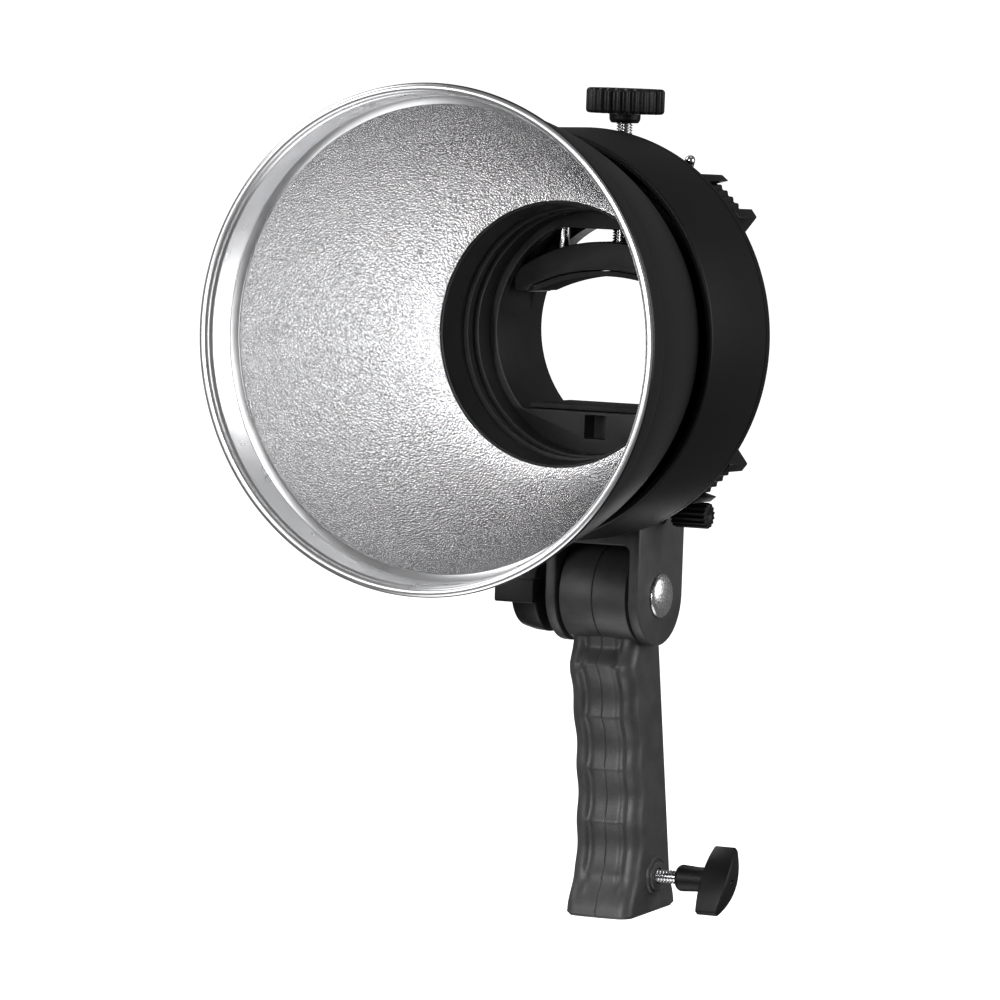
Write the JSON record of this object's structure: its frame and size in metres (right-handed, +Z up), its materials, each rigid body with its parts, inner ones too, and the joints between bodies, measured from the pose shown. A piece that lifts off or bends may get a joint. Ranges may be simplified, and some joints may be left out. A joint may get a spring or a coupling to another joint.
{
  "type": "handheld speedlite bracket with reflector",
  "caption": "Pistol-grip bracket that clamps a camera flash in a tilting bayonet head with a round silver reflector, an umbrella bore and a stand socket.",
  "frame": {"origin": "centre of the stand socket's mouth, in the foot of the grip", "axes": "+Z up along the grip, -Y towards the subject that the reflector faces, +X to the side of the stand lock"},
  "size_m": [0.18, 0.1829, 0.3164],
  "materials": {
    "grey_grip_plastic": "fine moulded texture, dark grey",
    "black_satin_plastic": "satin black moulding",
    "black_ring_paint": "satin black paint",
    "reflector_aluminium": "pebbled bright silver inside, satin black paint outside, polished rim",
    "chrome": "polished",
    "zinc_steel": "zinc plated",
    "brass": "turned",
    "black_rubber": "ribbed, matt",
    "white_nylon": "smooth"
  },
  "bodies": {
    "grip": {"grip_shell_left": "grey_grip_plastic", "grip_shell_right": "grey_grip_plastic", "stand_socket": "zinc_steel", "stand_lock_nut": "zinc_steel", "pivot_bush": "zinc_steel", "shell_screw_1": "zinc_steel", "shell_screw_2": "zinc_steel", "shell_screw_3": "zinc_steel"},
    "head": {"drum_housing": "black_satin_plastic", "bayonet_socket": "black_satin_plastic", "socket_screw_1": "zinc_steel", "socket_screw_2": "zinc_steel", "socket_screw_3": "zinc_steel", "rear_cover": "black_satin_plastic", "cover_screw_1": "zinc_steel", "cover_screw_2": "zinc_steel", "cover_screw_3": "zinc_steel", "cover_screw_4": "zinc_steel", "clamp_frame": "black_satin_plastic", "screw_nut": "brass", "bed_pad": "black_rubber", "fork_yoke": "grey_grip_plastic", "yoke_screw_1": "zinc_steel", "yoke_screw_2": "zinc_steel", "yoke_screw_3": "zinc_steel", "yoke_screw_4": "zinc_steel", "tilt_bolt": "chrome", "tilt_washer_left": "white_nylon", "tilt_washer_right": "white_nylon", "umbrella_lock_nut": "zinc_steel"},
    "reflector": {"reflector_dish": "reflector_aluminium", "reflector_ring": "black_ring_paint"},
    "release": {"lock_pin": "chrome", "release_lever": "black_ring_paint", "release_ball": "chrome", "pin_spring": "zinc_steel"},
    "jaw": {"upper_jaw": "black_satin_plastic", "jaw_pad": "black_rubber", "guide_rod_left": "chrome", "guide_rod_right": "chrome"},
    "clamp_turn": {"clamp_screw": "chrome", "clamp_knob": "black_satin_plastic", "screw_clip": "zinc_steel"},
    "stand_lock_feed": {"stand_lock_stud": "chrome"},
    "stand_lock_turn": {"stand_lock_knob": "black_satin_plastic"},
    "umbrella_lock_feed": {"umbrella_lock_stud": "chrome"},
    "umbrella_lock_turn": {"umbrella_lock_knob": "black_satin_plastic"},
    "tilt_knob_feed": {"tilt_knob_washer": "zinc_steel"},
    "tilt_knob_turn": {"tilt_knob": "black_satin_plastic", "tilt_knob_nut": "brass"}
  },
  "joints": [
    {"name": "head_tilt", "type": "hinge", "parent": "grip", "child": "head", "pos_m": [0, -0.0074, 0.119], "axis": [1, 0, 0], "range_deg": [-90, 75]},
    {"name": "reflector_twist", "type": "hinge", "parent": "head", "child": "reflector", "pos_m": [0, -0.02995, 0.21702], "axis": [0, 0.9971, -0.0767], "range_deg": [0, 20]},
    {"name": "lock_release", "type": "slide", "parent": "head", "child": "release", "axis": [0, 0.9971, -0.0767], "range_m": [0, 0.0045], "stiffness_N_per_m": 400, "springref_m": -0.004},
    {"name": "jaw_slide", "type": "slide", "parent": "head", "child": "jaw", "axis": [0, 0.0767, 0.9971], "range_m": [-0.00999, 0.00399]},
    {"name": "clamp_screw_turn", "type": "hinge", "parent": "jaw", "child": "clamp_turn", "pos_m": [0, 0.00112, 0.29486], "axis": [0, 0.0767, 0.9971], "range_deg": [-3600, 1440]},
    {"name": "stand_lock_travel", "type": "slide", "parent": "grip", "child": "stand_lock_feed", "axis": [1, 0, 0], "range_m": [-0.00119, 0.00319]},
    {"name": "stand_lock_screw", "type": "hinge", "parent": "stand_lock_feed", "child": "stand_lock_turn", "pos_m": [0.03, 0, 0.0135], "axis": [1, 0, 0], "range_deg": [-345, 920]},
    {"name": "umbrella_lock_travel", "type": "slide", "parent": "head", "child": "umbrella_lock_feed", "axis": [1, 0, 0], "range_m": [-0.00139, 0.00209]},
    {"name": "umbrella_lock_screw", "type": "hinge", "parent": "umbrella_lock_feed", "child": "umbrella_lock_turn", "pos_m": [0.03, -0.00506, 0.14941], "axis": [1, 0, 0], "range_deg": [-720, 1080]},
    {"name": "tilt_knob_travel", "type": "slide", "parent": "head", "child": "tilt_knob_feed", "axis": [1, 0, 0], "range_m": [-0.00249, 0]},
    {"name": "tilt_knob_screw", "type": "hinge", "parent": "tilt_knob_feed", "child": "tilt_knob_turn", "pos_m": [-0.03, -0.0074, 0.119], "axis": [1, 0, 0], "range_deg": [-720, 0]}
  ],
  "couplings": [
    {"joint": "clamp_screw_turn", "follows": "jaw_slide", "rad_per_m": 6283.2},
    {"joint": "stand_lock_screw", "follows": "stand_lock_travel", "rad_per_m": 5026.5},
    {"joint": "umbrella_lock_screw", "follows": "umbrella_lock_travel", "rad_per_m": 8976},
    {"joint": "tilt_knob_screw", "follows": "tilt_knob_travel", "rad_per_m": 5026.5}
  ]
}
